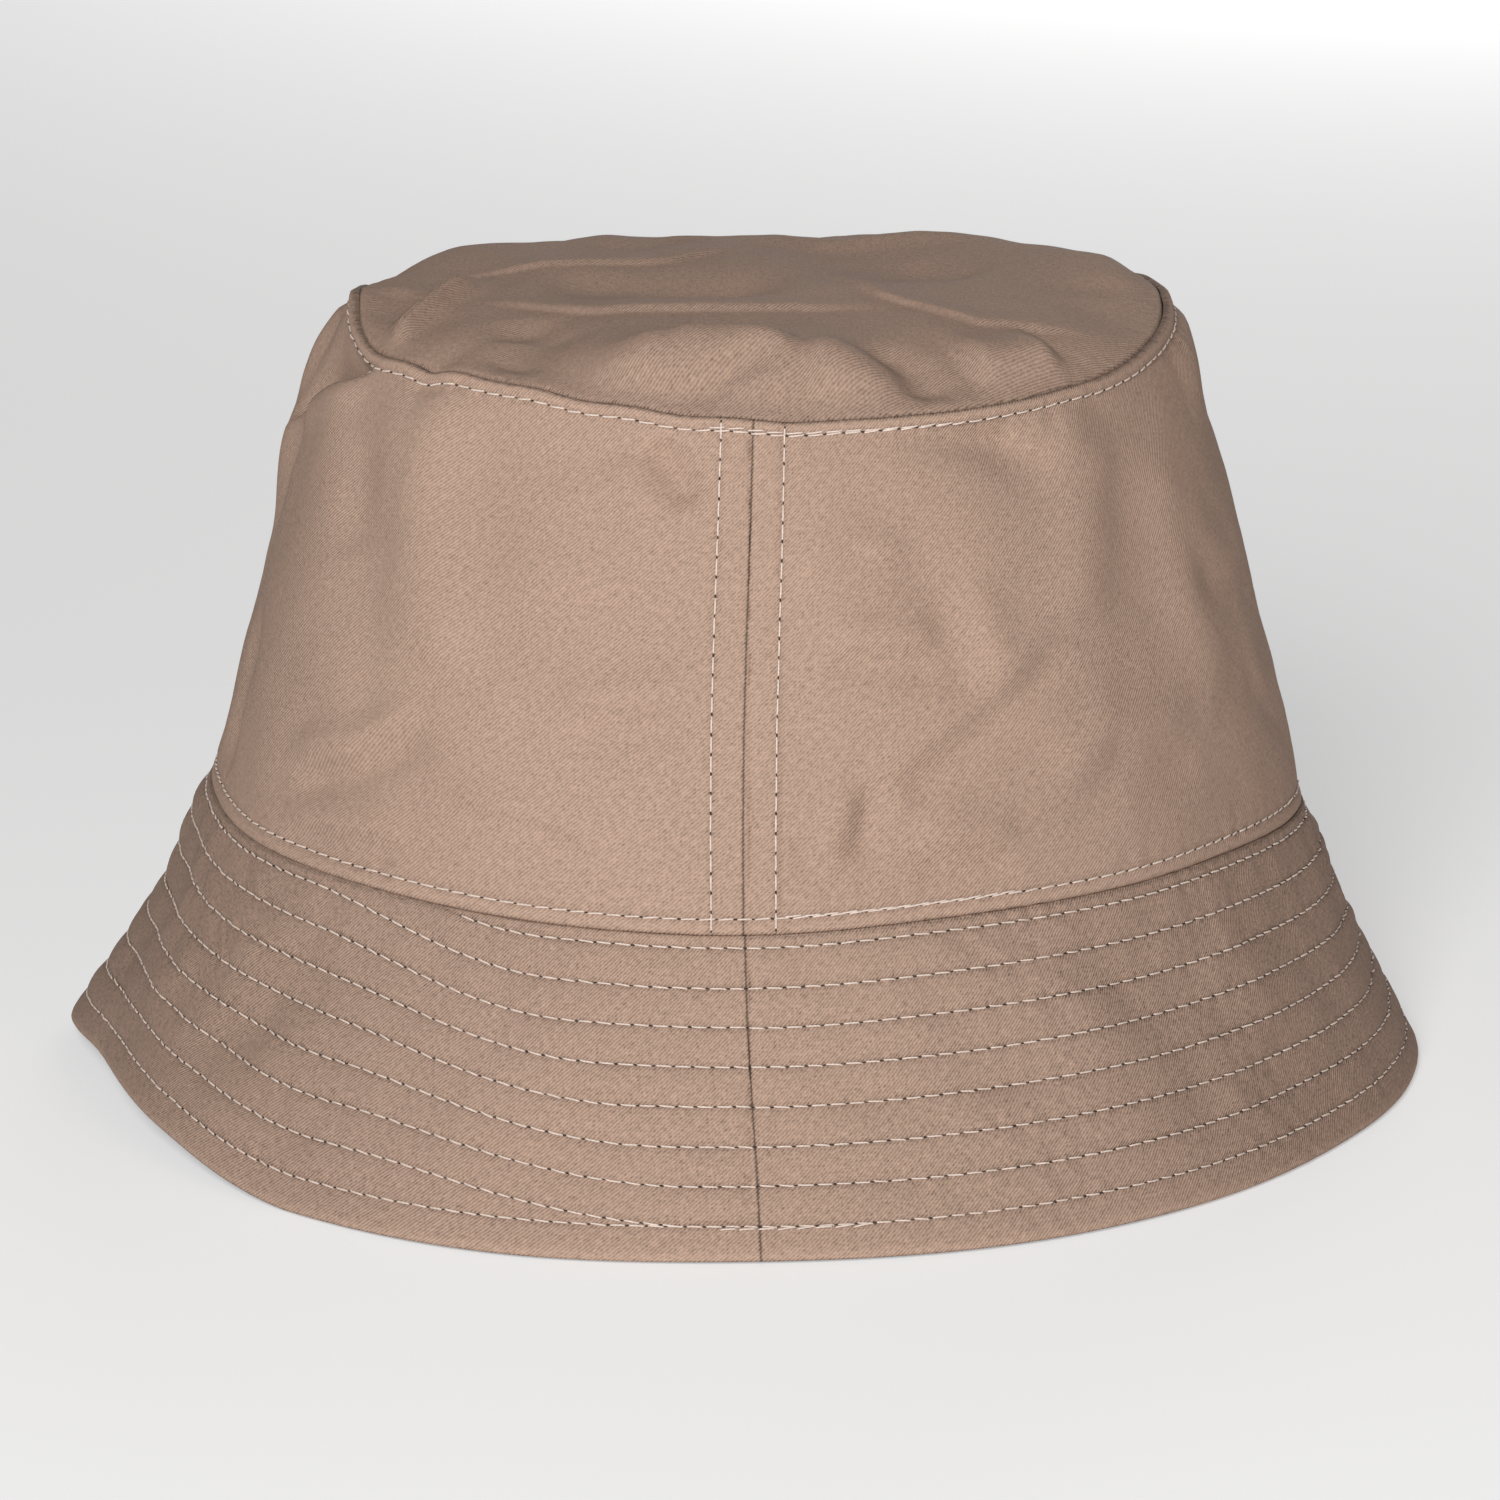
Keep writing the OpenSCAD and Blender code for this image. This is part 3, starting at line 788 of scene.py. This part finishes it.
def band_half(node, right, depth, t, mat, cell, ends=0.0):
    """One layer of one half of the band, from depth below its outside to depth + t. ends is
    how far it stops from the two seams."""
    lines = [0, TOPSTITCH, BAND_SLANT - TIP_STITCH, BAND_SLANT]
    ups = graded(BAND_SLANT - 2 * ends, lines, fine=0.3, coarse=cell, reach=2.5)
    ups = (ends + ups) / BAND_SLANT
    angles = half_angles(right, cell, (HEAD_R + TIP_R) / 2)
    up, angle = np.meshgrid(ups, angles, indexing="ij")
    face, back = band_face(up, angle, depth), band_face(up, angle, depth + t)
    uv = np.stack([np.radians(angle) * BAND_RUN, up * BAND_SLANT], -1)
    low, high = up * BAND_SLANT, (1 - up) * BAND_SLANT
    side = seam_side(angle, HEAD_R + (TIP_R - HEAD_R) * up)
    # painted shade in the three seams and beside the stitches, and painted highlights along the
    # raised allowances between them
    painted_shading = -0.18 * groove(low, 0.35) - 0.7 * groove(high, 0.35) - 1.2 * groove(side, 0.18)
    painted_shading -= 0.22 * (groove(low - TOPSTITCH, 0.6) + groove(high - TIP_STITCH, 0.6)
                    + groove(side - TWIN, 0.6))
    painted_shading += 0.12 * (groove(low - 1.3, 0.7) + groove(high - 1.2, 0.7))
    piece = sheet_mesh(node + ".cloth", face, back, uv, mat, painted_shading)
    join_piece(piece, node)


def brim_half(node, right, depth, t, mat, cell, ends=0.0, inner=False):
    """One layer of one half of the brim. The two outside layers meet at the edge."""
    angles = half_angles(right, cell, BRIM_RUN)
    if ends:
        lows = ends + graded(BRIM_SLANT - 2 * ends, [0], fine=cell, coarse=cell, reach=1.0)
        low, angle = np.meshgrid(lows, angles, indexing="ij")
    else:
        low, angle = row_grid(angles)
    down = 1 - low / BRIM_SLANT
    if inner:
        face, back = lining_brim_faces(down, angle, depth, t)
    else:
        face = brim_face(down, angle, depth)
        back = brim_face(down, angle, depth + t)
    uv = np.stack([np.radians(angle) * BRIM_RUN, low], -1)
    # the brim's cloth is a little darker all over, and painted shade darkens it further towards
    # the wearer's sides, where they turn from the light
    painted_shading = -0.08 - 0.22 * np.abs(np.sin(np.radians(angle)))
    # painted shade in the brim seam, beside the rows of stitching and in the back and front seams
    painted_shading -= 0.15 * groove(down * BRIM_SLANT, 0.35) + 0.25 * groove(nearest_row(low, angle), 0.5)
    painted_shading -= 1.2 * groove(seam_side(angle, BRIM_MID), 0.18)
    # a painted highlight just above the edge, where it rolls, and painted shade along the edge
    # itself, in patches
    painted_shading += 0.25 * groove(low - 1.0, 0.6)
    painted_shading -= 0.6 * groove(low, 0.35) * smooth(0.6 + 1.4 * ripple(face, 31, 60))
    piece = sheet_mesh(node + ".cloth", face, back, uv, mat, painted_shading)
    join_piece(piece, node)


def row_grid(angles):
    """Lines round the brim that keep to its rows of stitching, and crowd beside them."""
    shares = np.array([0, 0.05, 0.13, 0.26, 0.42, 0.58, 0.74, 0.87, 0.95])
    near_edge = np.array([0, 0.03, 0.07, 0.12, 0.19, 0.30, 0.5, 0.7, 0.87, 0.95])
    rows = brim_rows(angles)
    lines = []
    for k in range(len(rows) - 1):
        for share in (shares if k else near_edge):
            lines.append(rows[k] * (1 - share) + rows[k + 1] * share)
    lines.append(rows[-1])
    return np.array(lines), np.broadcast_to(angles, (len(lines), len(angles)))


def lining_brim_faces(down, angle, depth, t):
    """The under brim puffs the other way, and turns to meet the outer cloth at the edge."""
    low = (1 - down) * BRIM_SLANT
    bend = brim_bend(down, angle) - UNDER_PUFF * brim_puff(down, angle) - 0.1
    bend = bend * smooth(low / SOFT_EDGE + 0.1)
    base, out = brim_base(down, angle), outward(angle)
    under = depth + t - roll(low, EDGE_ROLL, EDGE_ROLL)
    # at the edge, where it meets the outer cloth, the sheet thins out to 0.02
    over = np.maximum(under - t, np.minimum(under, EDGE_ROLL) - 0.02)
    return [base + out * (bend - below)[..., None] + level(down, below)
            for below in (over, under)]


def tip_layer(node, depth, t, inset, mat, cell):
    """One layer of the tip. inset is how far it stops inside the outer one."""
    outs = 1 - graded(TIP_R, [0], fine=0.25, coarse=cell, reach=4.0)[:-1] / TIP_R
    count = round(2 * math.pi * TIP_R / cell)
    angles = np.arange(count) * 360.0 / count
    out, angle = np.meshgrid(outs, angles, indexing="ij")
    face, back = tip_face(out, angle, depth, inset), tip_face(out, angle, depth + t, inset)
    middle = [tip_face(np.zeros(1), np.zeros(1), depth, inset)[0],
              tip_face(np.zeros(1), np.zeros(1), depth + t, inset)[0]]
    # painted shade in the tip seam
    painted_shading = -0.6 * groove((1 - out) * TIP_R, 0.4)
    piece = sheet_mesh(node + ".cloth", face, back, face[..., :2], mat, painted_shading, middle)
    join_piece(piece, node)


for half, is_right in (("left", False), ("right", True)):
    band_half("outer_band_" + half, is_right, 0, SHELL_T, TWILL, CELL)
    brim_half("outer_brim_" + half, is_right, 0, SHELL_T, TWILL, CELL)
    band_half("band_interlining_" + half, is_right, SHELL_T + GAP, INTER_T, CANVAS, COARSE,
              ends=1.6)
    brim_half("brim_interlining_" + half, is_right, SHELL_T + GAP, INTER_T, CANVAS, COARSE,
              ends=1.8)
    band_half("lining_band_" + half, is_right, STACK - LINING_T, LINING_T, LINING, LINING_CELL)
    brim_half("lining_brim_" + half, is_right, STACK - LINING_T, LINING_T, LINING, UNDER_CELL,
              inner=True)
tip_layer("outer_tip", 0, SHELL_T, 0, TWILL, CELL)
tip_layer("lining_tip", SHELL_T + GAP, LINING_T, STACK - LINING_T, LINING, LINING_CELL)


# ---------------------------------------------------------------- stitches
# A place on the cloth is (low, angle): low is its distance from the brim seam, up the band,
# or from the edge, up the brim.
PROBE_LOW, PROBE_ANGLE = 0.2, 0.12      # a normal is felt out this far to each side


def surface_normals(face, low, angle):
    """Unit normals of a face, towards the outside."""
    across = face(low, angle + PROBE_ANGLE) - face(low, angle - PROBE_ANGLE)
    up = face(low + PROBE_LOW, angle) - face(low - PROBE_LOW, angle)
    n = np.cross(across, up)
    return n / np.linalg.norm(n, axis=-1, keepdims=True)


def tubes(centres, normals, radius, sides):
    """One closed tube along each row of centres. radius has a value for each centre."""
    count, length = centres.shape[:2]
    way = np.gradient(centres, axis=1)
    way /= np.linalg.norm(way, axis=-1, keepdims=True)
    side = np.cross(way, normals)
    side /= np.linalg.norm(side, axis=-1, keepdims=True)
    up = np.cross(side, way)
    turn = np.arange(sides) * 2 * math.pi / sides
    rings = (centres[:, :, None] + radius[..., None, None]
             * (np.cos(turn)[:, None] * side[:, :, None] + np.sin(turn)[:, None] * up[:, :, None]))
    points = rings.reshape(-1, 3)
    c, i, j = np.meshgrid(np.arange(count), np.arange(length - 1), np.arange(sides), indexing="ij")
    start = (c * length + i) * sides
    k = (j + 1) % sides
    quads = np.stack([start + j, start + k, start + sides + k, start + sides + j], -1)
    first = (np.arange(count) * length * sides)[:, None] + np.arange(sides)
    last = first + (length - 1) * sides
    return points, [quads.reshape(-1, 4)[:, ::-1], first, last[:, ::-1]]


def place_along(face, low, angle):
    """A function from distance along a path on a face to places, and the path's length."""
    steps = np.linalg.norm(np.diff(face(low, angle), axis=0), axis=1)
    run = np.concatenate([[0], np.cumsum(steps)])
    return (lambda s: (np.interp(s, run, low), np.interp(s, run, angle))), run[-1]


class Stitching:
    """Collects lock stitches along paths on the cloth: the pale top thread, the small dark knots
    in the needle holes, where the bobbin thread shows, their brown partly painted shade of the
    holes, and the bobbin thread inside."""

    def __init__(self, name, seed):
        self.name = name
        self.rng = np.random.default_rng(seed)
        self.threads, self.knots, self.inside = [], [], []

    def row(self, face, low, angle, under=None, beside=0.0):
        """One row along a path on the face. The lining's face, under, gets the bobbin's
        stitches, which lie sunk in it but for their ends. A second pass, beside the first,
        lies above it and adds no knots."""
        rng = self.rng
        stray = np.sin(np.linspace(0, len(low) / 40, len(low)) + rng.uniform(0, 6))
        to_place, length = place_along(face, low + beside + 0.10 * stray, angle)
        count = max(int(length / STITCH), 1)
        start_at = 0.5 * STITCH if beside else 0.0
        hole = np.linspace(start_at, length, count + 1) + rng.normal(0, 0.06, count + 1)
        hole = np.clip(hole, 0, length)
        share = np.array(THREAD_AT)
        start, end = hole[:-1] + HOLE, hole[1:] - HOLE
        s = start[:, None] + (end - start)[:, None] * share
        tilt = rng.normal(0.16, 0.08, (count, 1)) * (share - 0.5)
        inner_rise, thick = np.array(THREAD_RISE), np.array(THREAD_THICK)
        rise = inner_rise + DOUBLED_LIFT if beside else inner_rise
        self.lay(self.threads, face, to_place, s, tilt, rise * rng.uniform(0.85, 1.1, (count, 1)),
                 thick)
        if under:
            self.lay(self.inside, under, to_place, s, -tilt, inner_rise, thick * BOBBIN_SHARE)
        if not beside:
            self.lay(self.knots, face, to_place, hole[:, None] + np.array(KNOT_AT), 0.0,
                     np.array(KNOT_RISE),
                     np.array(KNOT_THICK) * rng.uniform(0.6, 1.1, (count + 1, 1)))

    def lay(self, where, face, to_place, s, tilt, rise, thick):
        """Adds one strand for each line of distances s along the path."""
        low, angle = to_place(s)
        low = low + tilt
        normal = surface_normals(face, low, angle)
        centre = face(low, angle) + normal * np.broadcast_to(rise, low.shape)[..., None]
        where.append((centre, normal, np.broadcast_to(thick, low.shape)))

    def build(self):
        for label, rows, sides, mat, slot in (
                ("thread", self.threads, 6, THREAD, "thread"),
                ("knots", self.knots, 5, KNOT, "lining"),
                ("bobbin", self.inside, 5, BOBBIN, "lining")):
            if not rows:
                continue
            centres, normals, radius = (np.concatenate([r[k] for r in rows]) for k in range(3))
            points, faces = tubes(centres, normals, radius, sides)
            join_piece(new_piece(f"{self.name}.{label}", points, faces, mat), self.name)


def brim_up(low, angle):
    """The brim's face, by distance from the edge."""
    return brim_face(1 - low / BRIM_SLANT, angle)


def brim_inside(low, angle):
    """The lower side of the under brim, by distance from the edge."""
    return lining_brim_faces(1 - low / BRIM_SLANT, angle, STACK - LINING_T, LINING_T)[1]


def band_up(low, angle):
    """The band's face, by distance from the brim seam."""
    return band_face(low / BAND_SLANT, angle)


def band_inside(low, angle):
    """The inner side of the band's lining, by distance from the brim seam."""
    return band_face(low / BAND_SLANT, angle, STACK)


def level_path(first, last, height):
    """A level path from one angle to another."""
    angles = np.linspace(first, last, int(abs(last - first) * 4) + 2)
    return np.full(angles.shape, height), angles


tip_row = Stitching("tip_topstitch", 31)
tip_row.row(band_up, *level_path(-180, 180, BAND_SLANT - TIP_STITCH), band_inside)
tip_row.row(band_up, *level_path(-7, 27, BAND_SLANT - TIP_STITCH), beside=DOUBLED)
tip_row.build()

seam_row = Stitching("brim_seam_topstitch", 32)
seam_row.row(band_up, *level_path(-180, 180, TOPSTITCH), band_inside)
seam_row.row(band_up, *level_path(3, 28, TOPSTITCH), beside=DOUBLED)
seam_row.build()

for node, seam in (("back_seam_topstitch", 0.0), ("front_seam_topstitch", 180.0)):
    twin = Stitching(node, 33)
    for side in (-1, 1):
        heights = np.linspace(0.5, BAND_SLANT - CLEAR, 200)
        radius = HEAD_R + (TIP_R - HEAD_R) * heights / BAND_SLANT
        twin.row(band_up, heights, seam + side * np.degrees(TWIN / radius), band_inside)
    twin.build()

spiral = Stitching("brim_stitching", 34)
for turn in range(ROWS + 1):
    travel = np.linspace(0, 360, 1441)
    travel[-1] -= 1e-6                      # a full turn would count as none
    distance = row_from_edge(turn, -travel)
    keep = distance < BRIM_SLANT - CLEAR    # the last turn runs out into the seam
    if turn == 1:                           # and the second starts clear of the first
        keep &= travel > 6
    spiral.row(brim_up, distance[keep], -travel[keep], brim_inside)
spiral.row(brim_up, *level_path(-4, 9, EDGE_ROW), beside=-DOUBLED)
spiral.build()

# ---------------------------------------------------------------- stage, light and camera
# From here on lengths are in metres.
ELEVATION, DISTANCE, VIEW_W = 14.0, 1.300, 0.25862      # VIEW_W is the view's width at AIM
AIM = (0.0, 0.0, 0.0546)
LIGHT_AIM = Vector((0, 0, 0.06))
SENSOR = 36             # the camera's sensor width, in millimetres as Blender wants it
FLOOR_HALF, FLOOR_GAP = 6.0, 0.0004


def area_light(name, place, size, power, color=(1, 1, 1)):
    data = bpy.data.lights.new(name, "AREA")
    data.shape, data.size, data.energy, data.color = "DISK", size, power, color
    light = add_object(name, data)
    light.location = place
    light.rotation_euler = (Vector(place) - LIGHT_AIM).to_track_quat("Z", "Y").to_euler()


def make_stage():
    mesh = bpy.data.meshes.new("floor")
    s = FLOOR_HALF
    mesh.from_pydata([(-s, -s, 0), (s, -s, 0), (s, s, 0), (-s, s, 0)], [], [(0, 1, 2, 3)])
    floor = add_object("floor", mesh)
    floor.location.z = cad_low.z - FLOOR_GAP
    mat, _, shader = material("pale_floor", (0.62, 0.62, 0.62), 0.9)
    shader.inputs["Emission Color"].default_value = (1, 1, 1, 1)
    shader.inputs["Emission Strength"].default_value = 0.40
    mesh.materials.append(mat)


def make_world():
    world = bpy.data.worlds.new("studio")
    bpy.context.scene.world = world
    world.use_nodes = True
    back = world.node_tree.nodes["Background"]
    back.inputs["Color"].default_value = (1, 1, 1, 1)
    back.inputs["Strength"].default_value = 0.10
    bpy.context.scene.view_settings.view_transform = "Standard"


def make_camera():
    data = bpy.data.cameras.new("camera")
    data.sensor_width = SENSOR
    data.lens = SENSOR * DISTANCE / VIEW_W
    data.clip_start, data.clip_end = 0.05, 20
    camera = add_object("camera", data)
    e = math.radians(ELEVATION)
    camera.location = (AIM[0], AIM[1] - DISTANCE * math.cos(e), AIM[2] + DISTANCE * math.sin(e))
    camera.rotation_euler = (math.radians(90 - ELEVATION), 0, 0)
    bpy.context.scene.camera = camera


make_stage()
make_world()
make_camera()
area_light("key", (-0.30, -1.60, 0.84), 0.6, 30.0)
area_light("fill", (0.95, -1.55, 0.50), 0.8, 3.3, (1.0, 0.88, 0.80))
area_light("behind", (0.30, 1.60, 0.40), 0.9, 7)
